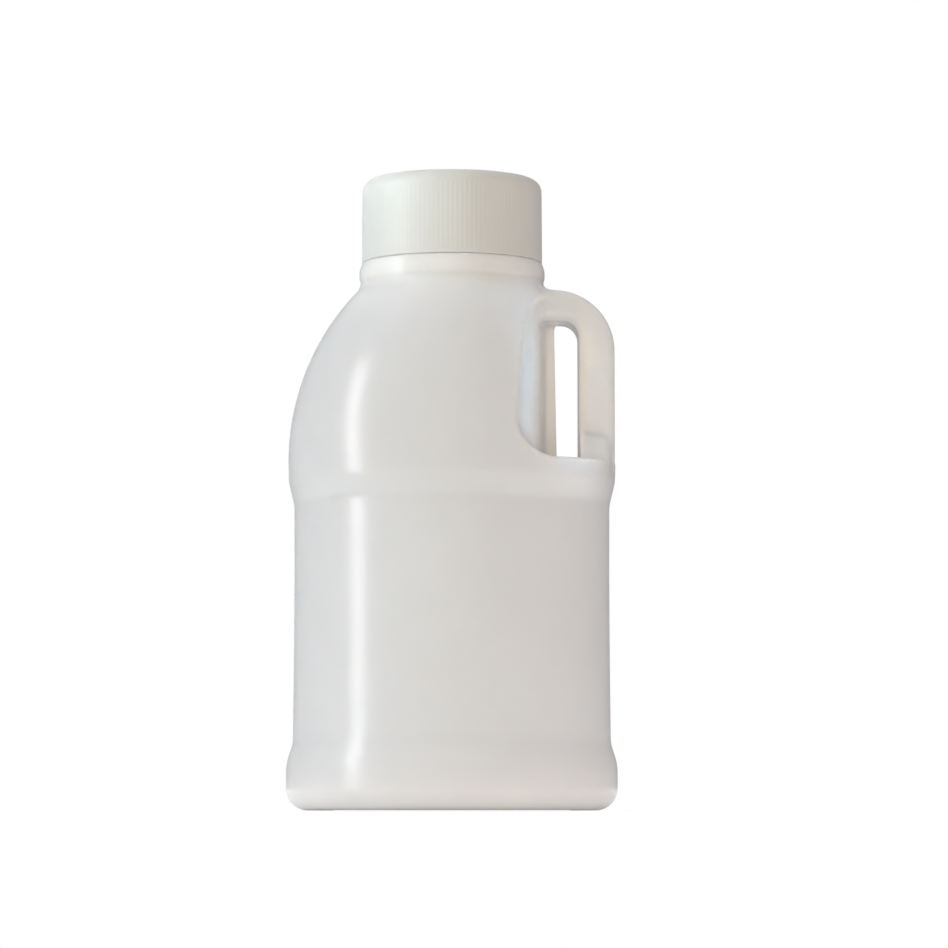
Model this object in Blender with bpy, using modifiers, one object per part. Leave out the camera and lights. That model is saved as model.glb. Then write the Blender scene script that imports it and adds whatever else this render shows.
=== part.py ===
"""Fabric conditioner bottle: a blow-moulded jug with a moulded handle, shut by a screw cap.

Frame: origin at the middle of the base, on the body's axis; +Z up, +X towards the handle.
The body is a turned form. A finger recess is cut into each side of its shoulder, and the
handle stands between the two recesses, in the plane of the mould's parting line.
"""

import math

import bmesh
import bpy

MM = 0.001

# Turned body, from the base up: radii and heights in millimetres
BASE_RADIUS = 51.75
BASE_CORNER = 6.9
CONTACT_RING_INNER = 37.0
PUSH_UP_HEIGHT = 2.4
BASE_BAND_TOP = 14.6
BASE_BAND_ROUNDING = 17.0
PANEL_BOTTOM_RADIUS = 49.63
PANEL_BOTTOM_HEIGHT = 20.8
PANEL_BOTTOM_ROUNDING = 11.0
PANEL_WAIST_RADIUS = 49.25
PANEL_WAIST_HEIGHT = 62.0
PANEL_WAIST_ROUNDING = 1500.0
PANEL_TOP_RADIUS = 49.36
PANEL_TOP_HEIGHT = 95.2
PANEL_TOP_ROUNDING = 8.0
SHOULDER_RADIUS = 51.12
SHOULDER_HEIGHT = 102.4
SHOULDER_ROUNDING = 13.0

# Dome: an arc whose centre lies beyond the axis, so that the shoulder is fuller than a sphere
DOME_CENTRE_RADIUS = -26.03
DOME_CENTRE_HEIGHT = 109.16
DOME_ARC = 77.33

# Neck: a collar that tapers from the dome to a groove, a bead under the cap, a plain finish inside it
COLLAR_RADIUS = 29.7
COLLAR_ROUNDING = 2.4
GROOVE_RADIUS = 28.65
GROOVE_HEIGHT = 165.2
BEAD_RADIUS = 29.15
BEAD_BOTTOM = 166.4
BEAD_TOP = 169.1
BEAD_ROUNDING = 1.3
NECK_RADIUS = 26.6
NECK_FOOT = 171.3
NECK_TOP = 195.9
NECK_EDGE = 0.8

# Finger recess: drafted walls that run in to a thin web beside the gap through the handle
WEB_HALF_THICKNESS = 0.9
WEB_ROOT = 28.4
WEB_EDGE_LOW = 32.87
WEB_EDGE_HIGH = 32.05
RECESS_DEPTH = 62.0
RECESS_REACH = 64.0
RECESS_SHELF = 109.1
RECESS_SHELF_DRAFT = 0.035
RECESS_LOW_DRAFT = 0.194
RECESS_HIGH_DRAFT = 0.147
RECESS_LOW_CORNER = 4.0
RECESS_LOW_CORNER_GROWTH = 0.19
RECESS_HIGH_CORNER = 9.0
RECESS_TOP = 162.0

# Handle, as seen from the side, and its foot on the shoulder
HANDLE_HALF_DEPTH = 11.5
HANDLE_EDGE = 3.6
HANDLE_OUTER = 50.95
HANDLE_INNER = 39.5
HANDLE_TOP = 162.4
HANDLE_OUTER_CORNER = 19.3
HOLE_TOP = 152.6
HOLE_CORNER = 5.2
HANDLE_ROOT = 18.0
HANDLE_BOTTOM = 99.0
HANDLE_BOTTOM_INSET = 3.0
FOOT_OUTER = 55.0
FOOT_TOP = 117.5
FOOT_SHELF_HALF_DEPTH = 17.0

# Cap: a cup over the neck
CAP_BOTTOM = 171.6
CAP_TOP = 198.0
CAP_BOTTOM_RADIUS = 28.36
CAP_TOP_RADIUS = 28.2
CAP_TOP_EDGE = 3.9
CAP_BOTTOM_EDGE = 0.35
CAP_INNER_RADIUS = 27.0
CAP_INNER_TOP = 196.3

# Fineness of the round forms
BODY_STEPS = 72
CAP_STEPS = 64
PUSH_UP_STEPS = 3
EDGE_STEPS = 4
ARC_TURN = math.radians(9.0)
DOME_TURN = math.radians(5.0)
NECK_TURN = math.radians(20.0)
SIDE_TURN = math.radians(12.5)

# Angles above which an edge is rounded or drawn as a crease, and distances for welding points (m)
FLAT_ANGLE = math.radians(1.0)
EDGE_ANGLE = math.radians(50.0)
CREASE_ANGLE = math.radians(32.0)
WELD = 0.00001
TURN_WELD = 0.00005

BOTTLE_COLOUR = (0.68, 0.65, 0.61, 1.0)
BOTTLE_ROUGHNESS = 0.38
CAP_COLOUR = (0.78, 0.77, 0.73, 1.0)
CAP_ROUGHNESS = 0.45


def clear_scene():
    """Remove every object that the open file holds."""
    for item in list(bpy.data.objects):
        bpy.data.objects.remove(item, do_unlink=True)


def new_collection(name):
    """A collection of this name, linked to the scene."""
    collection = bpy.data.collections.new(name)
    bpy.context.scene.collection.children.link(collection)
    return collection


def plastic(name, colour, roughness):
    """A plain plastic material."""
    material = bpy.data.materials.new(name)
    material.use_nodes = True
    shader = material.node_tree.nodes["Principled BSDF"]
    shader.inputs["Base Color"].default_value = colour
    shader.inputs["Roughness"].default_value = roughness
    shader.inputs["Metallic"].default_value = 0.0
    return material


def arc(centre, radius, start, end, turn=ARC_TURN):
    """Points along an arc in the plane, from one angle to the other, both included."""
    steps = max(1, round(abs(end - start) / turn))
    angles = [start + (end - start) * step / steps for step in range(steps + 1)]
    return [(centre[0] + radius * math.cos(a), centre[1] + radius * math.sin(a)) for a in angles]


def rounded(corners, turn=ARC_TURN):
    """An open outline through corners (x, y, rounding), each rounded corner drawn as an arc."""
    points = []
    for index, (x, y, rounding) in enumerate(corners):
        if rounding == 0.0:
            points.append((x, y))
            continue
        before = corners[index - 1]
        after = corners[(index + 1) % len(corners)]
        into = math.atan2(y - before[1], x - before[0])
        out = math.atan2(after[1] - y, after[0] - x)
        bend = (out - into + math.pi) % (2.0 * math.pi) - math.pi
        reach = rounding * math.tan(abs(bend) / 2.0)
        start_x = x - reach * math.cos(into)
        start_y = y - reach * math.sin(into)
        side = math.copysign(math.pi / 2.0, bend)
        centre = (
            start_x + rounding * math.cos(into + side),
            start_y + rounding * math.sin(into + side),
        )
        points += arc(centre, rounding, into - side, into - side + bend, turn)
    return points


def dome_height(radius):
    """Height at which the dome has this radius."""
    return DOME_CENTRE_HEIGHT + math.sqrt(DOME_ARC**2 - (radius - DOME_CENTRE_RADIUS) ** 2)


def body_outline():
    """Outline of the turned body, from the middle of the base up to the middle of the neck."""
    push_up_radius = (CONTACT_RING_INNER**2 + PUSH_UP_HEIGHT**2) / (2.0 * PUSH_UP_HEIGHT)
    push_up_centre = (0.0, PUSH_UP_HEIGHT - push_up_radius)
    push_up_span = math.asin(CONTACT_RING_INNER / push_up_radius)
    upright = math.pi / 2.0
    push_up_step = push_up_span / PUSH_UP_STEPS
    push_up = arc(push_up_centre, push_up_radius, upright, upright - push_up_span, push_up_step)

    collar_height = dome_height(COLLAR_RADIUS)
    dome_centre = (DOME_CENTRE_RADIUS, DOME_CENTRE_HEIGHT)
    dome_end = math.asin((collar_height - DOME_CENTRE_HEIGHT) / DOME_ARC)
    collar_slope = math.atan2(COLLAR_RADIUS - GROOVE_RADIUS, GROOVE_HEIGHT - collar_height)
    collar_bend = upright - dome_end - collar_slope
    collar_reach = COLLAR_ROUNDING * math.tan(collar_bend / 2.0)
    dome = arc(dome_centre, DOME_ARC, 0.0, dome_end - 2.0 * collar_reach / DOME_ARC, DOME_TURN)

    lower = rounded([
        (CONTACT_RING_INNER, 0.0, 0.0),
        (BASE_RADIUS, 0.0, BASE_CORNER),
        (BASE_RADIUS, BASE_BAND_TOP, BASE_BAND_ROUNDING),
        (PANEL_BOTTOM_RADIUS, PANEL_BOTTOM_HEIGHT, PANEL_BOTTOM_ROUNDING),
        (PANEL_WAIST_RADIUS, PANEL_WAIST_HEIGHT, PANEL_WAIST_ROUNDING),
        (PANEL_TOP_RADIUS, PANEL_TOP_HEIGHT, PANEL_TOP_ROUNDING),
        (SHOULDER_RADIUS, SHOULDER_HEIGHT, SHOULDER_ROUNDING),
        (*dome[0], 0.0),
    ])
    neck = rounded([
        (*dome[-1], 0.0),
        (COLLAR_RADIUS, collar_height, COLLAR_ROUNDING),
        (GROOVE_RADIUS, GROOVE_HEIGHT, 0.0),
        (BEAD_RADIUS, BEAD_BOTTOM, BEAD_ROUNDING),
        (BEAD_RADIUS, BEAD_TOP, BEAD_ROUNDING),
        (NECK_RADIUS, NECK_FOOT, 0.0),
        (NECK_RADIUS, NECK_TOP, NECK_EDGE),
        (0.0, NECK_TOP, 0.0),
    ], NECK_TURN)
    return push_up[:-1] + lower + dome[1:] + neck[1:]


def cap_outline():
    """Outline of the cap, from the middle of its inside down, round the rim and up to its top."""
    return rounded([
        (0.0, CAP_INNER_TOP, 0.0),
        (CAP_INNER_RADIUS, CAP_INNER_TOP, 0.0),
        (CAP_INNER_RADIUS, CAP_BOTTOM, CAP_BOTTOM_EDGE),
        (CAP_BOTTOM_RADIUS, CAP_BOTTOM, CAP_BOTTOM_EDGE),
        (CAP_TOP_RADIUS, CAP_TOP, CAP_TOP_EDGE),
        (0.0, CAP_TOP, 0.0),
    ], NECK_TURN)


def turned(name, outline, steps, collection):
    """A solid turned round Z from an outline that starts and ends on the axis."""
    mesh = bpy.data.meshes.new(name)
    vertices = [(radius * MM, 0.0, height * MM) for radius, height in reversed(outline)]
    edges = [(index, index + 1) for index in range(len(vertices) - 1)]
    mesh.from_pydata(vertices, edges, [])
    item = bpy.data.objects.new(name, mesh)
    collection.objects.link(item)
    screw = item.modifiers.new("Turn", "SCREW")
    screw.steps = steps
    screw.render_steps = steps
    screw.use_merge_vertices = True
    screw.merge_threshold = TURN_WELD
    return item


def plate(name, outline, half_depth, edge, collection):
    """A flat piece in the XZ plane, as thick on each side as half_depth, with rounded edges."""
    curve = bpy.data.curves.new(name, "CURVE")
    curve.dimensions = "2D"
    curve.fill_mode = "BOTH"
    curve.extrude = half_depth * MM
    spline = curve.splines.new("POLY")
    spline.points.add(len(outline) - 1)
    for point, (x, z) in zip(spline.points, outline):
        point.co = (x * MM, z * MM, 0.0, 1.0)
    spline.use_cyclic_u = True
    flat = bpy.data.objects.new(name + "_outline", curve)
    flat.rotation_euler = (math.pi / 2.0, 0.0, 0.0)
    collection.objects.link(flat)
    item = made_mesh(flat, name, collection)
    work = bmesh.new()
    work.from_mesh(item.data)
    bmesh.ops.dissolve_limit(work, angle_limit=FLAT_ANGLE, verts=work.verts, edges=work.edges)
    work.to_mesh(item.data)
    work.free()
    if edge > 0.0:
        bevel = item.modifiers.new("Edge", "BEVEL")
        bevel.width = edge * MM
        bevel.segments = EDGE_STEPS
        bevel.limit_method = "ANGLE"
        bevel.angle_limit = EDGE_ANGLE
        bevel.use_clamp_overlap = False
    return item


def made_mesh(source, name, collection):
    """The evaluated object as a plain welded mesh object, in place of the source."""
    bpy.context.view_layer.update()
    evaluated = source.evaluated_get(bpy.context.evaluated_depsgraph_get())
    mesh = bpy.data.meshes.new_from_object(evaluated)
    mesh.name = name
    mesh.transform(source.matrix_world)
    work = bmesh.new()
    work.from_mesh(mesh)
    bmesh.ops.remove_doubles(work, verts=work.verts, dist=WELD)
    bmesh.ops.recalc_face_normals(work, faces=work.faces)
    work.to_mesh(mesh)
    work.free()
    bpy.data.objects.remove(source, do_unlink=True)
    item = bpy.data.objects.new(name, mesh)
    collection.objects.link(item)
    return item


def recess_section(depth):
    """Outline of the finger recess in the XZ plane, this far out from the parting line."""
    low_wall = WEB_ROOT - RECESS_LOW_DRAFT * depth
    high_wall = WEB_ROOT - RECESS_HIGH_DRAFT * depth
    shelf = RECESS_SHELF - RECESS_SHELF_DRAFT * depth
    low_corner = RECESS_LOW_CORNER + RECESS_LOW_CORNER_GROWTH * depth
    return rounded([
        (RECESS_REACH, RECESS_TOP, 0.0),
        (high_wall, RECESS_TOP, RECESS_HIGH_CORNER),
        (low_wall, shelf, low_corner),
        (RECESS_REACH, shelf, 0.0),
    ], SIDE_TURN)


def recess_cutter(collection):
    """Both finger recesses: a loft from the parting line outwards, open there and mirrored."""
    near = [(x * MM, 0.0, z * MM) for x, z in recess_section(0.0)]
    far = [(x * MM, -RECESS_DEPTH * MM, z * MM) for x, z in recess_section(RECESS_DEPTH)]
    count = len(near)
    sides = [(i, (i + 1) % count, count + (i + 1) % count, count + i) for i in range(count)]
    mesh = bpy.data.meshes.new("recess_cutter")
    mesh.from_pydata(near + far, [], sides + [tuple(range(count, 2 * count))])
    item = bpy.data.objects.new("recess_cutter", mesh)
    collection.objects.link(item)
    mirror = item.modifiers.new("Other side", "MIRROR")
    mirror.use_axis = (False, True, False)
    mirror.merge_threshold = WELD
    return item


def handle_outline():
    """Side view of the handle: its arm from the neck, its grip and its end inside the shoulder."""
    return rounded([
        (HANDLE_ROOT, HANDLE_TOP, 0.0),
        (HANDLE_OUTER, HANDLE_TOP, HANDLE_OUTER_CORNER),
        (HANDLE_OUTER, SHOULDER_HEIGHT + HANDLE_BOTTOM_INSET, 0.0),
        (HANDLE_OUTER - HANDLE_BOTTOM_INSET, HANDLE_BOTTOM, 0.0),
        (HANDLE_INNER, HANDLE_BOTTOM, 0.0),
        (HANDLE_INNER, HOLE_TOP, HOLE_CORNER),
        (HANDLE_ROOT, HOLE_TOP, 0.0),
    ], SIDE_TURN)


def web_outline():
    """Side view of the thin web that edges the gap through the handle."""
    return [
        (HANDLE_ROOT, HANDLE_BOTTOM),
        (WEB_EDGE_LOW, HANDLE_BOTTOM),
        (WEB_EDGE_LOW, RECESS_SHELF),
        (WEB_EDGE_HIGH, HOLE_TOP),
        (WEB_EDGE_HIGH, HOLE_TOP + HOLE_CORNER),
        (HANDLE_ROOT, HOLE_TOP + HOLE_CORNER),
    ]


def foot_piece(collection):
    """The handle's foot: a wedge that widens down to the shelf, kept inside the turned body."""
    mesh = bpy.data.meshes.new("handle_foot")
    work = bmesh.new()
    bmesh.ops.create_cube(work, size=1.0)
    widening = (FOOT_SHELF_HALF_DEPTH - HANDLE_HALF_DEPTH + HANDLE_EDGE) / (FOOT_TOP - RECESS_SHELF)
    for vertex in work.verts:
        height = FOOT_TOP if vertex.co.z > 0.0 else HANDLE_BOTTOM
        half_depth = HANDLE_HALF_DEPTH - HANDLE_EDGE + widening * (FOOT_TOP - height)
        vertex.co.x = (FOOT_OUTER if vertex.co.x > 0.0 else HANDLE_INNER) * MM
        vertex.co.y = math.copysign(half_depth, vertex.co.y) * MM
        vertex.co.z = height * MM
    work.to_mesh(mesh)
    work.free()
    item = bpy.data.objects.new("handle_foot", mesh)
    collection.objects.link(item)
    return item


def boolean(item, operation, other):
    """Add an exact Boolean of this operation with the other object."""
    modifier = item.modifiers.new(operation.title(), "BOOLEAN")
    modifier.operation = operation
    modifier.object = other
    modifier.solver = "EXACT"
    return modifier


def hide_cutter(item):
    """Keep a cutter out of the render, drawn as wires."""
    item.hide_render = True
    item.display_type = "WIRE"


def finish(item, material):
    """Give a piece its material and smooth shading with sharp creases."""
    item.data.materials.clear()
    item.data.materials.append(material)
    item.data.shade_smooth()
    item.data.set_sharp_from_angle(angle=CREASE_ANGLE)


def make_bottle(parts, cutters):
    """The bottle: turned body with its recesses cut, then the handle, foot and web joined on."""
    body = turned("bottle_body", body_outline(), BODY_STEPS, cutters)
    envelope = turned("bottle_envelope", body_outline(), BODY_STEPS, cutters)
    recess = recess_cutter(cutters)
    handle = plate("handle", handle_outline(), HANDLE_HALF_DEPTH, HANDLE_EDGE, cutters)
    web = plate("web", web_outline(), WEB_HALF_THICKNESS, 0.0, cutters)
    foot = foot_piece(cutters)
    for item in (envelope, recess, handle, web, foot):
        hide_cutter(item)
    boolean(foot, "INTERSECT", envelope)
    boolean(body, "DIFFERENCE", recess)
    for item in (web, foot, handle):
        boolean(body, "UNION", item)
    bottle = made_mesh(body, "bottle", parts)
    finish(bottle, plastic("bottle_plastic", BOTTLE_COLOUR, BOTTLE_ROUGHNESS))
    return bottle


def make_cap(parts):
    """The screw cap."""
    cap = made_mesh(turned("cap_turned", cap_outline(), CAP_STEPS, parts), "cap", parts)
    finish(cap, plastic("cap_plastic", CAP_COLOUR, CAP_ROUGHNESS))
    return cap


def main():
    clear_scene()
    parts = new_collection("fabric_conditioner_bottle")
    cutters = new_collection("cutters")
    make_bottle(parts, cutters)
    make_cap(parts)


main()
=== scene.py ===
"""Looks of the fabric conditioner bottle: a milky shell with a handle, and a ribbed white cap.

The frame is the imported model's: metres, origin at the middle of the base, +Z up, +X towards the
handle. Sizes below are in millimetres. The shell's form is written as a signed distance, negative
inside: a turned profile with a finger recess on each side, a handle, its foot and a thin web, all
joined by fillets. It is drawn as one mesh with an outer and an inner skin that meet at the mouth.
"""

import math

import bmesh
import bpy
import numpy as np
from mathutils import Euler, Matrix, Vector

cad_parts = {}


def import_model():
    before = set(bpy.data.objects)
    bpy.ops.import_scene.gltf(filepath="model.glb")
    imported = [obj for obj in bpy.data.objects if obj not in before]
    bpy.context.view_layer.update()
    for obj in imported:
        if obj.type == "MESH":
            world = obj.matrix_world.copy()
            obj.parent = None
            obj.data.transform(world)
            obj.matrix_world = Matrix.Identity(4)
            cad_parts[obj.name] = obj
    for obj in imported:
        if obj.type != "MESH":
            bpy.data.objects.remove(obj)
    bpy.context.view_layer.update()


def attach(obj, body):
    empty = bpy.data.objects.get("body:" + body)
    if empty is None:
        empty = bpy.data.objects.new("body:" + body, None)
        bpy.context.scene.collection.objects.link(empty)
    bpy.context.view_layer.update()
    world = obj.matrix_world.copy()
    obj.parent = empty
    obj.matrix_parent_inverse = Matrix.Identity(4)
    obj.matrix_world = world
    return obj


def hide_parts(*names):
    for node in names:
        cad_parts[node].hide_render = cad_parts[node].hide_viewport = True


MM = 0.001

# Camera, in pixels of the 948 x 948 picture: the object's axis and the floor's line cross at this place.
# A pixel there is this many millimetres wide; the camera's height is in millimetres too
PICTURE = 948.0
AXIS_PIXEL_X = 451.45
FLOOR_PIXEL_Y = 808.9
PIXEL_SIZE = 0.3137
CAMERA_DISTANCE = 4250.0
CAMERA_HEIGHT = 0.4
SENSOR_WIDTH = 36.0

# Turned body, from the base up
BASE_RADIUS = 51.75
BASE_CORNER = 6.9
CONTACT_RING_INNER = 37.0
PUSH_UP_HEIGHT = 2.4
PUSH_UP_STEPS = 12
BASE_BAND_TOP = 14.6
BASE_BAND_ROUNDING = 17.0
PANEL_BOTTOM_RADIUS = 49.63
PANEL_BOTTOM_HEIGHT = 20.8
PANEL_BOTTOM_ROUNDING = 11.0
PANEL_WAIST_RADIUS = 49.25
PANEL_WAIST_HEIGHT = 62.0
PANEL_WAIST_ROUNDING = 1500.0
PANEL_TOP_RADIUS = 49.36
PANEL_TOP_HEIGHT = 95.2
PANEL_TOP_ROUNDING = 8.0
SHOULDER_RADIUS = 51.12
SHOULDER_HEIGHT = 102.4
SHOULDER_ROUNDING = 13.0
DOME_CENTRE_RADIUS = -26.03
DOME_CENTRE_HEIGHT = 109.16
DOME_ARC = 77.33
DOME_TURN = math.radians(1.5)

# Neck, with a groove, a bead and a small seat under the cap
COLLAR_RADIUS = 29.7
COLLAR_ROUNDING = 2.4
GROOVE_RADIUS = 28.65
GROOVE_HEIGHT = 165.2
BEAD_RADIUS = 29.15
BEAD_BOTTOM = 166.4
BEAD_TOP = 169.1
BEAD_ROUNDING = 3.2
SEAT_RADIUS = 28.3
SEAT_TOP = 171.75
NECK_RADIUS = 26.6
MOUTH = 195.9
NECK_RUN_ON = 8.0

# Finger recess, web, handle and foot
WEB_HALF_THICKNESS = 0.9
WEB_EDGE_SHARE = 0.8
WEB_ROOT = 28.4
WEB_EDGE_LOW = 32.87
WEB_EDGE_HIGH = 32.05
WEB_FILLET = 1.6
RECESS_SHELF = 109.1
RECESS_SHELF_DRAFT = 0.035
RECESS_LOW_DRAFT = 0.194
RECESS_HIGH_DRAFT = 0.147
RECESS_LOW_CORNER = 4.0
RECESS_LOW_CORNER_GROWTH = 0.19
RECESS_HIGH_CORNER = 9.0
RECESS_TOP = 162.0
RECESS_RIM = 1.5
HANDLE_HALF_DEPTH = 11.5
HANDLE_EDGE = 3.6
HANDLE_OUTER = 50.95
HANDLE_INNER = 39.5
HANDLE_TOP = 162.4
HANDLE_OUTER_CORNER = 19.3
HANDLE_ROOT = 18.0
HANDLE_BOTTOM = 99.0
HANDLE_BOTTOM_INSET = 3.0
HANDLE_FILLET = 2.4
HANDLE_FILLET_LOW = 0.3
HOLE_TOP = 152.6
HOLE_CORNER = 5.2
FOOT_TOP = 117.5
FOOT_SHELF_HALF_DEPTH = 17.0
FOOT_INSET = 0.35
FOOT_FILLET = 0.5
FOOT_EDGE = 3.0
FOOT_START_DEPTH = 10.9
FOOT_BLEND = 12.0

# Moulding marks: the parting line all round and the pinched seam under the base
PARTING_HEIGHT = 0.1
PARTING_HALF_WIDTH = 0.28
SEAM_HEIGHT = 0.7
SEAM_HALF_WIDTH = 0.7
SEAM_HALF_LENGTH = 27.0
SEAM_RUN_OUT = 4.0

# Wall of the shell, thicker at its neck and base, and the heights between which it grows
WALL = 1.0
WALL_EXTRA_AT_NECK = 0.7
WALL_NECK_HEIGHTS = (150.0, 172.0)
WALL_EXTRA_AT_BASE = 0.5
WALL_BASE_HEIGHTS = (2.0, 16.0)

# Grids that the two skins are drawn on: their cells, the lines beside the parting line and their reach
OUTER_CELL = 0.85
INNER_CELL = 1.25
PARTING_LINES = (0.15, 0.45, 0.8, 1.25, 1.85)
GRID_BOTTOM = -1.3
GRID_MARGIN = 1.2
SLAB = 32

# Flat tables of distances: their step, how far short of the number of lines a place is held, their reach
TABLE_STEP = 0.2
TABLE_EDGE = 1.001
BODY_TABLE_LOW = (-2.0, -8.0)
BODY_TABLE_MARGIN = (25.0, 4.0)
SIDE_TABLE_LOW = (10.0, 90.0)
SIDE_TABLE_HIGH = (60.0, 172.0)

# Moving points onto the surface: the least squared slope that is believed and the longest step
LEAST_SLOPE_SQUARED = 0.05
LONGEST_STEP = 0.6

# Cap
CAP_BOTTOM = 171.6
CAP_TOP = 198.0
CAP_BOTTOM_RADIUS = 28.36
CAP_TOP_RADIUS = 28.2
CAP_TOP_EDGE = 3.9
CAP_TOP_EDGE_TURN = math.radians(7.5)
CAP_RIM_EDGE = 0.35
CAP_RIM_TURN = math.radians(15.0)
CAP_INNER_RADIUS = 27.0
CAP_INNER_TOP = 196.3
CAP_INNER_CHAMFER = 1.0
CAP_RIM_HEIGHT = 1.6
RIBS = 120
RIB_DEPTH = 0.045
RIB_STEPS = 8
RIB_ROWS = 6
RIB_START = ((-0.25, 0.0), (0.0, 0.35), (0.3, 1.0))
RIB_RUN_OUT = 2.4
RIB_RUN_OUT_START = 0.15
GATE_RADIUS = 1.6
GATE_FLOOR_RADIUS = 1.28
GATE_FLAT_RADIUS = 6.4
GATE_DEPTH = 0.35

# Edges sharper than this stay sharp
SHARP_ANGLE = math.radians(50.0)

# Materials: the two colours that each varies between, and its range of roughness
MILKY_COLOURS = ((0.80, 0.785, 0.765, 1), (0.84, 0.825, 0.805, 1))
MILKY_ROUGHNESS = (0.215, 0.265)
CAP_COLOURS = ((0.63, 0.635, 0.606, 1), (0.66, 0.665, 0.636, 1))
CAP_ROUGHNESS = (0.34, 0.56)
FLOOR_COLOURS = ((0.84, 0.84, 0.84, 1), (0.86, 0.86, 0.86, 1))
FLOOR_ROUGHNESS = 0.9
PLASTIC_IOR = 1.5

# How far light scatters in the milky plastic, in metres, and each colour's share of that
SCATTER_LENGTH = 0.003
SCATTER_SHARES = (1.0, 0.85, 0.75)

# Heights of the plastics' fine grain and of the bottle's ripple, in metres
GRAIN_HEIGHT = 0.00003
RIPPLE_HEIGHT = 0.00025

# Light from each side of the surroundings: axis, sign of the side and colour
SIDE_LIGHTS = (
    ("left", 0, -1.0, (0.17, 0.165, 0.165)),
    ("right", 0, 1.0, (0.01, 0.01, 0.01)),
    ("front", 1, -1.0, (0.635, 0.60, 0.44)),
    ("back", 1, 1.0, (0.30, 0.295, 0.295)),
    ("top", 2, 1.0, (1.10, 1.09, 1.15)),
)

# How far the strip softbox leans back at its top
STRIP_LEAN = math.radians(15.0)

# Places that the softboxes face, in metres
BODY_MIDDLE = (0.0, 0.0, 0.1)
BODY_LOW = (0.0, 0.0, 0.05)
CAP_MIDDLE = (0.0, 0.0, 0.196)
GRIP_FRONT = (0.034, -0.012, 0.131)
GRIP_FACE = (0.0415, -0.0115, 0.135)
RECESS_WALL = (0.024, -0.024, 0.131)

# Floor, in metres
FLOOR_RADIUS = 0.65
FLOOR_FADE_START = 0.038
FLOOR_FADE_END = 0.082
FLOOR_STEPS = 96


def arc(centre, radius, start, end, turn):
    """Points along an arc in the plane, from one angle to the other, both included."""
    steps = max(1, round(abs(end - start) / turn))
    angles = [start + (end - start) * step / steps for step in range(steps + 1)]
    return [(centre[0] + radius * math.cos(a), centre[1] + radius * math.sin(a)) for a in angles]


def rounded(corners, turn=math.radians(4.0)):
    """An outline through corners (x, y, rounding), each rounded corner drawn as an arc."""
    points = []
    for index, (x, y, rounding) in enumerate(corners):
        if rounding == 0.0:
            points.append((x, y))
            continue
        before = corners[index - 1]
        after = corners[(index + 1) % len(corners)]
        into = math.atan2(y - before[1], x - before[0])
        out = math.atan2(after[1] - y, after[0] - x)
        bend = (out - into + math.pi) % (2.0 * math.pi) - math.pi
        reach = rounding * math.tan(abs(bend) / 2.0)
        side = math.copysign(math.pi / 2.0, bend)
        centre = (
            x - reach * math.cos(into) + rounding * math.cos(into + side),
            y - reach * math.sin(into) + rounding * math.sin(into + side),
        )
        points += arc(centre, rounding, into - side, into - side + bend, turn)
    return points


def body_outline():
    """Outline of the turned body, from the middle of the base up; the neck runs on past the mouth."""
    upright = math.pi / 2.0
    push_up_radius = (CONTACT_RING_INNER**2 + PUSH_UP_HEIGHT**2) / (2.0 * PUSH_UP_HEIGHT)
    push_up_span = math.asin(CONTACT_RING_INNER / push_up_radius)
    push_up_centre = (0.0, PUSH_UP_HEIGHT - push_up_radius)
    push_up_end = upright - push_up_span
    push_up = arc(push_up_centre, push_up_radius, upright, push_up_end, push_up_span / PUSH_UP_STEPS)

    collar_rise = math.sqrt(DOME_ARC**2 - (COLLAR_RADIUS - DOME_CENTRE_RADIUS) ** 2)
    collar_height = DOME_CENTRE_HEIGHT + collar_rise
    dome_end = math.asin(collar_rise / DOME_ARC)
    collar_slope = math.atan2(COLLAR_RADIUS - GROOVE_RADIUS, GROOVE_HEIGHT - collar_height)
    collar_reach = COLLAR_ROUNDING * math.tan((upright - dome_end - collar_slope) / 2.0)
    dome_centre = (DOME_CENTRE_RADIUS, DOME_CENTRE_HEIGHT)
    dome = arc(dome_centre, DOME_ARC, 0.0, dome_end - 2.0 * collar_reach / DOME_ARC, DOME_TURN)

    lower = rounded([
        (CONTACT_RING_INNER, 0.0, 0.0),
        (BASE_RADIUS, 0.0, BASE_CORNER),
        (BASE_RADIUS, BASE_BAND_TOP, BASE_BAND_ROUNDING),
        (PANEL_BOTTOM_RADIUS, PANEL_BOTTOM_HEIGHT, PANEL_BOTTOM_ROUNDING),
        (PANEL_WAIST_RADIUS, PANEL_WAIST_HEIGHT, PANEL_WAIST_ROUNDING),
        (PANEL_TOP_RADIUS, PANEL_TOP_HEIGHT, PANEL_TOP_ROUNDING),
        (SHOULDER_RADIUS, SHOULDER_HEIGHT, SHOULDER_ROUNDING),
        (*dome[0], 0.0),
    ])
    neck = rounded([
        (*dome[-1], 0.0),
        (COLLAR_RADIUS, collar_height, COLLAR_ROUNDING),
        (GROOVE_RADIUS, GROOVE_HEIGHT, 0.0),
        (BEAD_RADIUS, BEAD_BOTTOM, BEAD_ROUNDING),
        (BEAD_RADIUS, BEAD_TOP, BEAD_ROUNDING),
        (SEAT_RADIUS, SEAT_TOP, 0.0),
        (NECK_RADIUS, SEAT_TOP, 0.0),
        (NECK_RADIUS, MOUTH + NECK_RUN_ON, 0.0),
        (0.0, MOUTH + NECK_RUN_ON, 0.0),
    ])
    return push_up[:-1] + lower + dome[1:] + neck[1:]


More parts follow.
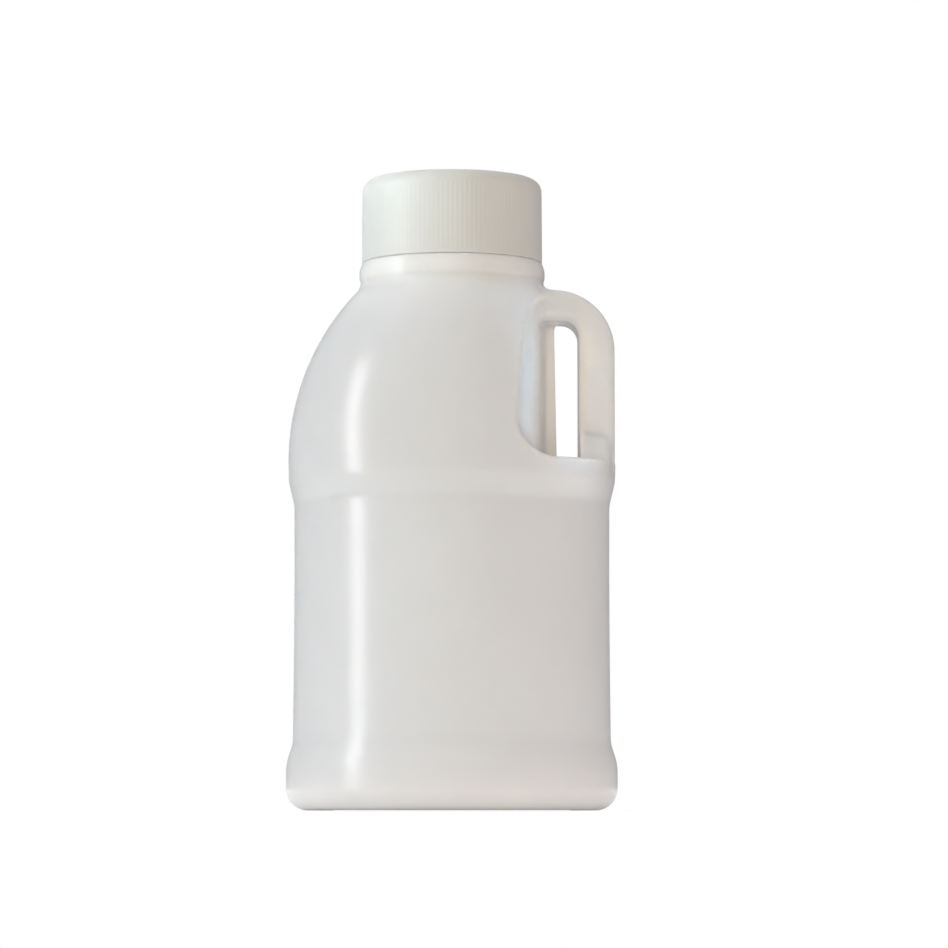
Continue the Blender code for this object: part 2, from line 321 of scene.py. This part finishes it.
def handle_outline():
    """Side view of the handle: its arm from the neck, its grip and its end inside the shoulder."""
    return rounded([
        (HANDLE_ROOT, HANDLE_TOP, 0.0),
        (HANDLE_OUTER, HANDLE_TOP, HANDLE_OUTER_CORNER),
        (HANDLE_OUTER, SHOULDER_HEIGHT + HANDLE_BOTTOM_INSET, 0.0),
        (HANDLE_OUTER - HANDLE_BOTTOM_INSET, HANDLE_BOTTOM, 0.0),
        (HANDLE_INNER, HANDLE_BOTTOM, 0.0),
        (HANDLE_INNER, HOLE_TOP, HOLE_CORNER),
        (HANDLE_ROOT, HOLE_TOP, 0.0),
    ])


class DistanceTable:
    """Signed distance from a closed outline, negative inside, read off a flat grid."""

    def __init__(self, outline, low, high):
        self.low = low
        across = np.arange(low[0], high[0] + TABLE_STEP, TABLE_STEP)
        up = np.arange(low[1], high[1] + TABLE_STEP, TABLE_STEP)
        u, v = np.meshgrid(across, up, indexing="ij")
        nearest = np.full(u.shape, np.inf)
        inside = np.zeros(u.shape, bool)
        for (u0, v0), (u1, v1) in zip(outline, outline[1:] + outline[:1]):
            du = u1 - u0
            dv = v1 - v0
            length = du * du + dv * dv
            if length == 0.0:
                continue
            along = np.clip(((u - u0) * du + (v - v0) * dv) / length, 0.0, 1.0)
            nearest = np.minimum(nearest, (u - u0 - along * du) ** 2 + (v - v0 - along * dv) ** 2)
            if dv != 0.0:
                inside ^= ((v0 > v) != (v1 > v)) & (u < u0 + (v - v0) * du / dv)
        self.values = np.where(inside, -1.0, 1.0) * np.sqrt(nearest)

    def __call__(self, u, v):
        """Distance at these places, between the grid's values."""
        s = np.clip((u - self.low[0]) / TABLE_STEP, 0.0, self.values.shape[0] - TABLE_EDGE)
        t = np.clip((v - self.low[1]) / TABLE_STEP, 0.0, self.values.shape[1] - TABLE_EDGE)
        i = s.astype(int)
        j = t.astype(int)
        s = s - i
        t = t - j
        low = self.values[i, j] * (1.0 - s) + self.values[i + 1, j] * s
        high = self.values[i, j + 1] * (1.0 - s) + self.values[i + 1, j + 1] * s
        return low * (1.0 - t) + high * t


def round_both(a, b, radius):
    """Distance from what lies in both forms, its edge rounded by this radius."""
    edge = np.hypot(np.maximum(a + radius, 0.0), np.maximum(b + radius, 0.0))
    return np.minimum(np.maximum(a, b), -radius) + edge


def round_either(a, b, radius):
    """Distance from what lies in either form, with a fillet of this radius between them."""
    return -round_both(-a, -b, radius)


def smooth_step(value, low, high):
    """0 below low, 1 above high and a smooth rise between them."""
    share = np.clip((value - low) / (high - low), 0.0, 1.0)
    return share * share * (3.0 - 2.0 * share)


class BottleForm:
    """The bottle's outer form and the form of the space inside it."""

    def __init__(self):
        profile = body_outline()
        section = profile + [(-radius, height) for radius, height in reversed(profile[1:-1])]
        margin_across, margin_up = BODY_TABLE_MARGIN
        body_high = (BASE_RADIUS + margin_across, MOUTH + NECK_RUN_ON + margin_up)
        self.body = DistanceTable(section, BODY_TABLE_LOW, body_high)
        self.side = DistanceTable(handle_outline(), SIDE_TABLE_LOW, SIDE_TABLE_HIGH)

    def recess(self, x, depth, z):
        """Distance from the finger recess, this far out from the parting line."""
        shelf = RECESS_SHELF - RECESS_SHELF_DRAFT * depth
        rise = (z - shelf) / (RECESS_TOP - shelf)
        draft = RECESS_LOW_DRAFT + (RECESS_HIGH_DRAFT - RECESS_LOW_DRAFT) * rise
        wall = WEB_ROOT - draft * depth - x
        corner = RECESS_LOW_CORNER + RECESS_LOW_CORNER_GROWTH * depth
        return round_both(round_both(wall, shelf - z, corner), z - RECESS_TOP, RECESS_HIGH_CORNER)

    def web(self, x, depth, z):
        """Distance from the thin web that edges the gap through the handle."""
        share = (z - RECESS_SHELF) / (HOLE_TOP - RECESS_SHELF)
        edge = WEB_EDGE_LOW + (WEB_EDGE_HIGH - WEB_EDGE_LOW) * share
        height = np.maximum(z - HOLE_TOP - HOLE_CORNER, HANDLE_BOTTOM - z)
        slab = round_both(depth - WEB_HALF_THICKNESS, x - edge, WEB_HALF_THICKNESS * WEB_EDGE_SHARE)
        return np.maximum(np.maximum(slab, height), HANDLE_ROOT - x)

    def handle(self, x, depth, z):
        """Distance from the handle."""
        side = self.side(x, z) + HANDLE_EDGE
        face = depth - HANDLE_HALF_DEPTH + HANDLE_EDGE
        edge = np.hypot(np.maximum(side, 0.0), np.maximum(face, 0.0))
        return np.minimum(np.maximum(side, face), 0.0) + edge - HANDLE_EDGE

    def foot(self, x, depth, z, body):
        """Distance from the handle's foot, which widens down to the recess's shelf."""
        widening = (FOOT_SHELF_HALF_DEPTH - FOOT_START_DEPTH) / (FOOT_TOP - RECESS_SHELF)
        face = (depth - FOOT_START_DEPTH - widening * (FOOT_TOP - z)) / math.hypot(1.0, widening)
        ends = np.maximum(HANDLE_BOTTOM - z, z - FOOT_TOP)
        wedge = np.maximum(np.maximum(face, ends), HANDLE_INNER + HANDLE_FILLET_LOW - x)
        return round_both(wedge, body + FOOT_INSET, FOOT_EDGE)

    def nominal(self, x, y, z):
        """Distance from the bottle's form without its moulding marks."""
        depth = np.abs(y)
        body = self.body(np.hypot(x, y), z)
        form = round_both(body, -self.recess(x, depth, z), RECESS_RIM)
        form = round_either(form, self.web(x, depth, z), WEB_FILLET)
        form = round_either(form, self.foot(x, depth, z, body), FOOT_FILLET)
        rise = smooth_step(z, FOOT_TOP, FOOT_TOP + FOOT_BLEND)
        fillet = HANDLE_FILLET_LOW + (HANDLE_FILLET - HANDLE_FILLET_LOW) * rise
        return round_either(form, self.handle(x, depth, z), fillet)

    def outer(self, x, y, z):
        """Distance from the outer skin, with the parting line and the seam under the base."""
        line = PARTING_HEIGHT * np.exp(-((y / PARTING_HALF_WIDTH) ** 2))
        under = 1.0 - smooth_step(z, PUSH_UP_HEIGHT, 2.0 * PUSH_UP_HEIGHT)
        reach = 1.0 - smooth_step(np.abs(x), SEAM_HALF_LENGTH - SEAM_RUN_OUT, SEAM_HALF_LENGTH)
        seam = SEAM_HEIGHT * under * reach * np.exp(-((y / SEAM_HALF_WIDTH) ** 2))
        return self.nominal(x, y, z) + PARTING_HEIGHT - line - seam

    def inner(self, x, y, z):
        """Distance from the inner skin."""
        neck = WALL_EXTRA_AT_NECK * smooth_step(z, *WALL_NECK_HEIGHTS)
        base = WALL_EXTRA_AT_BASE * (1.0 - smooth_step(z, *WALL_BASE_HEIGHTS))
        return self.nominal(x, y, z) + WALL + neck + base


CORNERS = [(i, j, k) for i in (0, 1) for j in (0, 1) for k in (0, 1)]
CELL_EDGES = [(a, b) for a in range(8) for b in range(a + 1, 8) if bin(a ^ b).count("1") == 1]


def grid_lines(low, high, step, beside_middle=()):
    """Grid lines from low to high; those beside the middle lie evenly on both sides of zero."""
    if not beside_middle:
        return np.linspace(low, high, round((high - low) / step) + 1)
    outwards = list(beside_middle) + list(np.arange(beside_middle[-1] + step, high, step))
    return np.array([-line for line in reversed(outwards)] + outwards)


def surface_net(form, lines):
    """Points and quads of a form's surface: one point in each grid cell that the surface crosses."""
    slabs = [lines[2][start:start + SLAB] for start in range(0, len(lines[2]), SLAB)]
    values = np.concatenate([
        form(*np.meshgrid(lines[0], lines[1], slab, indexing="ij")) for slab in slabs
    ], axis=2)
    inside = values < 0.0
    cells_each_way = tuple(size - 1 for size in values.shape)
    count = np.zeros(cells_each_way, np.uint8)
    for i, j, k in CORNERS:
        count += inside[i:i + cells_each_way[0], j:j + cells_each_way[1], k:k + cells_each_way[2]]
    crossed = (count > 0) & (count < 8)
    cells = np.argwhere(crossed)
    number = np.full(cells_each_way, -1)
    number[crossed] = np.arange(len(cells))

    corner_cells = [cells + corner for corner in CORNERS]
    corner_values = [values[tuple(at.T)] for at in corner_cells]
    corner_places = [np.stack([lines[axis][at[:, axis]] for axis in range(3)], 1) for at in corner_cells]
    points = np.zeros((len(cells), 3))
    crossings = np.zeros((len(cells), 1))
    for a, b in CELL_EDGES:
        first, second = corner_values[a], corner_values[b]
        hit = ((first < 0.0) != (second < 0.0))[:, None]
        share = (first / np.where(hit[:, 0], first - second, 1.0))[:, None]
        points += hit * (corner_places[a] + (corner_places[b] - corner_places[a]) * share)
        crossings += hit
    points /= crossings

    quads = []
    for axis in range(3):
        u = (axis + 1) % 3
        v = (axis + 2) % 3
        before = np.moveaxis(inside, axis, 0)[:-1]
        after = np.moveaxis(inside, axis, 0)[1:]
        found = np.argwhere(np.moveaxis(before != after, 0, axis))
        room = (found[:, u] > 0) & (found[:, v] > 0)
        room &= (found[:, u] < cells_each_way[u]) & (found[:, v] < cells_each_way[v])
        found = found[room]
        back_u = np.eye(3, dtype=int)[u]
        back_v = np.eye(3, dtype=int)[v]
        round_edge = [found, found - back_u, found - back_u - back_v, found - back_v]
        ring = np.stack([number[tuple(at.T)] for at in round_edge], 1)
        leaves = inside[tuple(found.T)]
        quads.append(np.where(leaves[:, None], ring, ring[:, ::-1]))
    return points, np.concatenate(quads)


def slope(form, points, reach=0.03):
    """Gradient of a form's distance at these points."""
    sides = []
    for axis in range(3):
        step = np.eye(3)[axis] * reach
        sides.append((form(*(points + step).T) - form(*(points - step).T)) / (2.0 * reach))
    return np.stack(sides, 1)


def settled(form, points, quads, rounds=3, evening=0.5):
    """The points evened out along the surface and moved onto it."""
    ends = np.concatenate([quads, np.roll(quads, -1, axis=1)], axis=1).reshape(-1, 2, 4)
    ends = np.stack([ends[:, 0].ravel(), ends[:, 1].ravel()], 1)
    for turn in range(rounds):
        if turn > 0:
            total = np.zeros_like(points)
            number = np.zeros(len(points))
            for a, b in ((0, 1), (1, 0)):
                number += np.bincount(ends[:, a], minlength=len(points))
                for axis in range(3):
                    total[:, axis] += np.bincount(ends[:, a], points[ends[:, b], axis], len(points))
            points = points + (total / number[:, None] - points) * evening
        for _ in range(2):
            gradient = slope(form, points)
            size = np.maximum((gradient**2).sum(1), LEAST_SLOPE_SQUARED)
            step = (form(*points.T) / size)[:, None] * gradient
            length = np.linalg.norm(step, axis=1, keepdims=True)
            points = points - step * np.minimum(1.0, LONGEST_STEP / np.maximum(length, 1e-9))
    return points


def skin_mesh(name, form, lines):
    """A mesh of a form's surface, its faces towards the outside of the form."""
    points, quads = surface_net(form, lines)
    points = settled(form, points, quads)
    mesh = bpy.data.meshes.new(name)
    mesh.from_pydata((points * MM).tolist(), [], quads.tolist())
    return mesh


def shell_mesh():
    """The bottle's shell: outer and inner skins cut level at the mouth and joined there by a lip."""
    form = BottleForm()
    reach = BASE_RADIUS + GRID_MARGIN
    top = MOUTH + NECK_RUN_ON / 2.0
    work = bmesh.new()
    for name, skin, cell, middle in (
        ("outer", form.outer, OUTER_CELL, PARTING_LINES),
        ("inner", form.inner, INNER_CELL, (INNER_CELL / 2.0,)),
    ):
        across = grid_lines(-reach, reach, cell)
        deep = grid_lines(-reach, reach, cell, middle)
        up = grid_lines(GRID_BOTTOM, top, cell)
        mesh = skin_mesh(name, skin, (across, deep, up))
        start = len(work.faces)
        work.from_mesh(mesh)
        work.faces.ensure_lookup_table()
        if name == "inner":
            bmesh.ops.reverse_faces(work, faces=work.faces[start:])
        bpy.data.meshes.remove(mesh)
    everything = work.verts[:] + work.edges[:] + work.faces[:]
    level = (0.0, 0.0, MOUTH * MM)
    bmesh.ops.bisect_plane(work, geom=everything, plane_co=level, plane_no=(0, 0, 1), clear_outer=True)
    rims = [edge for edge in work.edges if edge.is_boundary]
    bmesh.ops.bridge_loops(work, edges=rims)
    bmesh.ops.recalc_face_normals(work, faces=work.faces)
    mesh = bpy.data.meshes.new("bottle_shell")
    work.to_mesh(mesh)
    work.free()
    return mesh


def cap_rows():
    """Rows of the cap's section, from the middle of its inside round to the middle of its top.

    Each row is a radius, a height and how deep the ribs are cut there, from 0 to 1."""
    chamfer_low = CAP_INNER_TOP - CAP_INNER_CHAMFER
    rows = [(0.0, CAP_INNER_TOP, 0.0), (CAP_INNER_RADIUS - CAP_INNER_CHAMFER, CAP_INNER_TOP, 0.0)]
    rows.append((CAP_INNER_RADIUS, chamfer_low, 0.0))
    band = CAP_BOTTOM + CAP_RIM_HEIGHT
    rim = rounded([
        (CAP_INNER_RADIUS, chamfer_low, 0.0),
        (CAP_INNER_RADIUS, CAP_BOTTOM, CAP_RIM_EDGE),
        (CAP_BOTTOM_RADIUS, CAP_BOTTOM, CAP_RIM_EDGE),
        (CAP_BOTTOM_RADIUS, band, 0.0),
    ], CAP_RIM_TURN)[1:-1]
    rows += [(radius, height, 0.0) for radius, height in rim]

    rows += [(skirt_radius(band + rise), band + rise, cut) for rise, cut in RIB_START]
    ribs_start = band + RIB_START[-1][0]
    edge_start = CAP_TOP - CAP_TOP_EDGE
    for step in range(1, RIB_ROWS + 1):
        height = ribs_start + (edge_start - ribs_start) * step / RIB_ROWS
        rows.append((skirt_radius(height), height, 1.0))

    centre = (CAP_TOP_RADIUS - CAP_TOP_EDGE, edge_start)
    for radius, height in arc(centre, CAP_TOP_EDGE, 0.0, math.pi / 2.0, CAP_TOP_EDGE_TURN)[1:]:
        share = (height - edge_start) / RIB_RUN_OUT
        rows.append((radius, height, float(1.0 - smooth_step(share, RIB_RUN_OUT_START, 1.0))))
    rows += [(GATE_FLAT_RADIUS, CAP_TOP, 0.0), (GATE_RADIUS, CAP_TOP, 0.0)]
    rows += [(GATE_FLOOR_RADIUS, CAP_TOP - GATE_DEPTH, 0.0), (0.0, CAP_TOP - GATE_DEPTH, 0.0)]
    return rows


def skirt_radius(height):
    """Radius of the cap's skirt, which narrows a little towards its top."""
    share = (height - CAP_BOTTOM) / (CAP_TOP - CAP_BOTTOM)
    return CAP_BOTTOM_RADIUS + (CAP_TOP_RADIUS - CAP_BOTTOM_RADIUS) * share


def cap_mesh():
    """The cap: a cup with a ribbed skirt over a plain rim."""
    rows = cap_rows()
    columns = RIBS * RIB_STEPS
    angles = [2.0 * math.pi * column / columns for column in range(columns)]
    valley = [0.5 - 0.5 * math.cos(RIBS * angle) for angle in angles]
    points = [(0.0, 0.0, rows[0][1] * MM)]
    for radius, height, ribbed in rows[1:-1]:
        for angle, low in zip(angles, valley):
            r = radius - RIB_DEPTH * ribbed * low
            points.append((r * math.cos(angle) * MM, r * math.sin(angle) * MM, height * MM))
    points.append((0.0, 0.0, rows[-1][1] * MM))
    faces = []
    rings = len(rows) - 2
    for column in range(columns):
        nearby = (column + 1) % columns
        faces.append((0, 1 + nearby, 1 + column))
        for ring in range(rings - 1):
            low = 1 + ring * columns
            high = low + columns
            faces.append((low + column, low + nearby, high + nearby, high + column))
        last = 1 + (rings - 1) * columns
        faces.append((last + column, last + nearby, len(points) - 1))
    mesh = bpy.data.meshes.new("screw_cap")
    mesh.from_pydata(points, [], faces)
    return mesh


def piece(name, mesh, node, material):
    """A visible piece that stands for a node of the frame."""
    mesh.name = name
    mesh.materials.append(material)
    mesh.shade_smooth()
    mesh.set_sharp_from_angle(angle=SHARP_ANGLE)
    item = bpy.data.objects.new(name, mesh)
    bpy.context.scene.collection.objects.link(item)
    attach(item, "root")
    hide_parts(node)


class Nodes:
    """Short way to add and join shader nodes."""

    def __init__(self, tree):
        self.tree = tree
        tree.nodes.clear()

    def add(self, kind, settings=(), **inputs):
        """A node with these settings and input values, a value being a number or another socket."""
        node = self.tree.nodes.new(kind)
        for name, value in dict(settings).items():
            setattr(node, name, value)
        for name, value in inputs.items():
            key = int(name[1:]) if name[0] == "_" and name[1:].isdigit() else name.replace("_", " ")
            if isinstance(value, bpy.types.NodeSocket):
                self.tree.links.new(value, node.inputs[key])
            else:
                node.inputs[key].default_value = value
        return node

    def noise(self, place, scale, detail=2.0, roughness=0.5):
        """Noise from 0 to 1 whose features are about 1 / scale metres across."""
        node = self.add("ShaderNodeTexNoise", Vector=place, Scale=scale, Detail=detail, Roughness=roughness)
        return node.outputs["Fac"]

    def spread(self, value, low, high, from_low=0.3, from_high=0.7):
        """A value brought to the range from low to high; most of a noise lies between 0.3 and 0.7."""
        limits = {"From_Min": from_low, "From_Max": from_high, "To_Min": low, "To_Max": high}
        return self.add("ShaderNodeMapRange", Value=value, **limits).outputs["Result"]

    def blend(self, share, first, second):
        """A colour between two colours."""
        node = self.add("ShaderNodeMix", {"data_type": "RGBA"}, _0=share, _6=first, _7=second)
        return node.outputs[2]

    def bump(self, height, distance, strength, normal=None):
        """A normal that follows a height, with the height's span in metres."""
        inputs = {"Height": height, "Distance": distance, "Strength": strength}
        if normal is not None:
            inputs["Normal"] = normal
        return self.add("ShaderNodeBump", **inputs).outputs["Normal"]


def new_material(name):
    """A material with an empty node tree."""
    material = bpy.data.materials.new(name)
    material.use_nodes = True
    return material, Nodes(material.node_tree)


def bottle_material():
    """Natural polyethylene: milky, light passes through it, satin skin with a faint ripple and grain."""
    material, nodes = new_material("milky_plastic")
    place = nodes.add("ShaderNodeTexCoord").outputs["Object"]
    cloud = nodes.spread(nodes.noise(place, scale=26.0, detail=3.0), 0.0, 1.0)
    colour = nodes.blend(cloud, *MILKY_COLOURS)
    grain = nodes.noise(place, scale=1700.0, detail=2.0)
    ripple = nodes.noise(place, scale=75.0, detail=1.0)
    roughness = nodes.spread(nodes.noise(place, scale=140.0, detail=3.0), *MILKY_ROUGHNESS)
    normal = nodes.bump(ripple, RIPPLE_HEIGHT, strength=0.35)
    normal = nodes.bump(grain, GRAIN_HEIGHT, strength=0.5, normal=normal)
    shader = nodes.add(
        "ShaderNodeBsdfPrincipled",
        Base_Color=colour, Roughness=roughness, IOR=PLASTIC_IOR, Normal=normal,
        Subsurface_Weight=1.0, Subsurface_Scale=SCATTER_LENGTH, Subsurface_Radius=SCATTER_SHARES,
    )
    nodes.add("ShaderNodeOutputMaterial", Surface=shader.outputs[0])
    return material


def cap_material():
    """White moulded plastic, satin, with a fine grain and slight unevenness of tone."""
    material, nodes = new_material("white_plastic")
    place = nodes.add("ShaderNodeTexCoord").outputs["Object"]
    tone = nodes.spread(nodes.noise(place, scale=60.0, detail=3.0), 0.0, 1.0)
    colour = nodes.blend(tone, *CAP_COLOURS)
    unevenness = nodes.noise(place, scale=220.0, detail=3.0)
    roughness = nodes.spread(unevenness, *CAP_ROUGHNESS, from_low=0.0, from_high=1.0)
    normal = nodes.bump(nodes.noise(place, scale=2200.0, detail=2.0), GRAIN_HEIGHT, strength=0.5)
    shader = nodes.add(
        "ShaderNodeBsdfPrincipled",
        Base_Color=colour, Roughness=roughness, IOR=PLASTIC_IOR, Normal=normal,
    )
    nodes.add("ShaderNodeOutputMaterial", Surface=shader.outputs[0])
    return material


def floor():
    """A plain pale floor that passes into the white backdrop towards its rim."""
    material, nodes = new_material("pale_floor")
    place = nodes.add("ShaderNodeTexCoord").outputs["Object"]
    tone = nodes.spread(nodes.noise(place, scale=12.0, detail=3.0), 0.0, 1.0)
    colour = nodes.blend(tone, *FLOOR_COLOURS)
    matte = nodes.add("ShaderNodeBsdfPrincipled", Base_Color=colour, Roughness=FLOOR_ROUGHNESS)
    backdrop = nodes.add("ShaderNodeEmission", Color=(1, 1, 1, 1), Strength=1.0)
    outwards = nodes.add("ShaderNodeVectorMath", {"operation": "LENGTH"}, _0=place)
    share = nodes.spread(outwards.outputs["Value"], 0.0, 1.0, FLOOR_FADE_START, FLOOR_FADE_END)
    both = nodes.add("ShaderNodeMixShader", _0=share, _1=matte.outputs[0], _2=backdrop.outputs[0])
    nodes.add("ShaderNodeOutputMaterial", Surface=both.outputs[0])
    mesh = bpy.data.meshes.new("floor")
    turns = [2.0 * math.pi * step / FLOOR_STEPS for step in range(FLOOR_STEPS)]
    rim = [(FLOOR_RADIUS * math.cos(turn), FLOOR_RADIUS * math.sin(turn), 0.0) for turn in turns]
    mesh.from_pydata(rim, [], [tuple(range(FLOOR_STEPS))])
    mesh.materials.append(material)
    item = bpy.data.objects.new("floor", mesh)
    bpy.context.scene.collection.objects.link(item)


def camera():
    """The camera: as far off as the picture's perspective says, just above the floor, looking up."""
    middle = (PICTURE - 1.0) / 2.0
    rise = CAMERA_HEIGHT / PIXEL_SIZE
    pitch = math.atan((FLOOR_PIXEL_Y - rise - middle) / CAMERA_DISTANCE)
    data = bpy.data.cameras.new("camera")
    data.sensor_fit = "HORIZONTAL"
    data.sensor_width = SENSOR_WIDTH
    data.lens = CAMERA_DISTANCE / math.cos(pitch) / PICTURE * data.sensor_width
    data.clip_start = 0.01
    data.clip_end = 100.0
    item = bpy.data.objects.new("camera", data)
    bpy.context.scene.collection.objects.link(item)
    side = (middle - AXIS_PIXEL_X) * PIXEL_SIZE
    item.location = (side * MM, -CAMERA_DISTANCE * PIXEL_SIZE * MM, CAMERA_HEIGHT * MM)
    item.rotation_euler = Euler((math.pi / 2.0 + pitch, 0.0, 0.0))
    bpy.context.scene.camera = item


def softbox(name, target, azimuth, elevation, distance, size, power, colour, spread=180.0):
    """A soft light that faces a place on the bottle, its angles in degrees and its power in watts.

    Azimuth 0 is the camera's side, positive to the left."""
    data = bpy.data.lights.new(name, "AREA")
    data.shape = "RECTANGLE"
    data.size, data.size_y = size
    data.energy = power
    data.color = colour
    data.spread = math.radians(spread)
    item = bpy.data.objects.new(name, data)
    bpy.context.scene.collection.objects.link(item)
    item.visible_camera = False
    turn = math.radians(azimuth)
    rise = math.radians(elevation)
    out = Vector((-math.sin(turn) * math.cos(rise), -math.cos(turn) * math.cos(rise), math.sin(rise)))
    item.location = Vector(target) + out * distance
    item.rotation_euler = out.to_track_quat("Z", "Y").to_euler()
    return item


def surroundings():
    """Soft light that differs from each side, under a white backdrop."""
    world = bpy.data.worlds.new("studio")
    world.use_nodes = True
    bpy.context.scene.world = world
    nodes = Nodes(world.node_tree)
    direction = nodes.add("ShaderNodeTexCoord").outputs["Generated"]
    parts = nodes.add("ShaderNodeSeparateXYZ", _0=direction)
    total = (0.0, 0.0, 0.0)
    for name, axis, sign, colour in SIDE_LIGHTS:
        multiply = {"operation": "MULTIPLY", "use_clamp": True}
        facing = nodes.add("ShaderNodeMath", multiply, _0=parts.outputs[axis], _1=sign).outputs[0]
        share = nodes.add("ShaderNodeMath", multiply, _0=facing, _1=facing).outputs[0]
        scale = {"operation": "SCALE", "name": name}
        part = nodes.add("ShaderNodeVectorMath", scale, _0=colour, Scale=share).outputs[0]
        total = nodes.add("ShaderNodeVectorMath", {"operation": "ADD"}, _0=total, _1=part).outputs[0]
    unseen = nodes.add("ShaderNodeBackground", Color=total, Strength=1.0).outputs[0]
    seen = nodes.add("ShaderNodeBackground", Color=(1, 1, 1, 1), Strength=1.0).outputs[0]
    by_camera = nodes.add("ShaderNodeLightPath").outputs["Is Camera Ray"]
    both = nodes.add("ShaderNodeMixShader", _0=by_camera, _1=unseen, _2=seen)
    nodes.add("ShaderNodeOutputWorld", Surface=both.outputs[0])


def softboxes():
    """The strip that the highlight shows, then soft lights that only fill and one that only shines."""
    strip = softbox(
        "strip_left", BODY_MIDDLE, azimuth=74.0, elevation=16.0, distance=1.0,
        size=(0.18, 0.85), power=4.2, colour=(0.967, 0.955, 1.0),
    )
    strip.rotation_euler.rotate_axis("Z", STRIP_LEAN)
    behind = softbox(
        "behind", BODY_MIDDLE, azimuth=160.0, elevation=10.0, distance=1.0,
        size=(0.4, 0.6), power=3.9, colour=(1.0, 1.0, 1.0),
    )
    patch = softbox(
        "patch_top_left", BODY_MIDDLE, azimuth=90.0, elevation=62.0, distance=1.0,
        size=(0.35, 0.35), power=0.12, colour=(1.0, 1.0, 1.0),
    )
    patch.visible_diffuse = False
    low = softbox(
        "low_right", BODY_LOW, azimuth=-38.0, elevation=2.0, distance=0.45,
        size=(0.40, 0.14), power=0.45, colour=(1.0, 0.70, 0.63),
    )
    side = softbox(
        "cap_left", CAP_MIDDLE, azimuth=68.0, elevation=12.0, distance=0.40,
        size=(0.10, 0.05), power=0.0095, colour=(0.7, 0.92, 0.95), spread=16.0,
    )
    grip = softbox(
        "grip", GRIP_FRONT, azimuth=-40.0, elevation=14.0, distance=0.34,
        size=(0.04, 0.04), power=0.0002, colour=(0.8, 0.95, 1.0), spread=12.0,
    )
    face = softbox(
        "grip_face", GRIP_FACE, azimuth=25.0, elevation=8.0, distance=0.34,
        size=(0.006, 0.04), power=0.0003, colour=(1.0, 0.75, 0.5), spread=2.5,
    )
    wall = softbox(
        "recess", RECESS_WALL, azimuth=-66.0, elevation=3.0, distance=0.30,
        size=(0.016, 0.05), power=0.0024, colour=(0.6, 0.87, 1.0), spread=7.0,
    )
    for fill in (behind, low, side, grip, face, wall):
        fill.visible_glossy = False


def main():
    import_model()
    camera()
    surroundings()
    softboxes()
    floor()
    piece("bottle_shell", shell_mesh(), "bottle", bottle_material())
    piece("screw_cap", cap_mesh(), "cap", cap_material())
    bpy.context.scene.view_settings.view_transform = "Standard"


main()
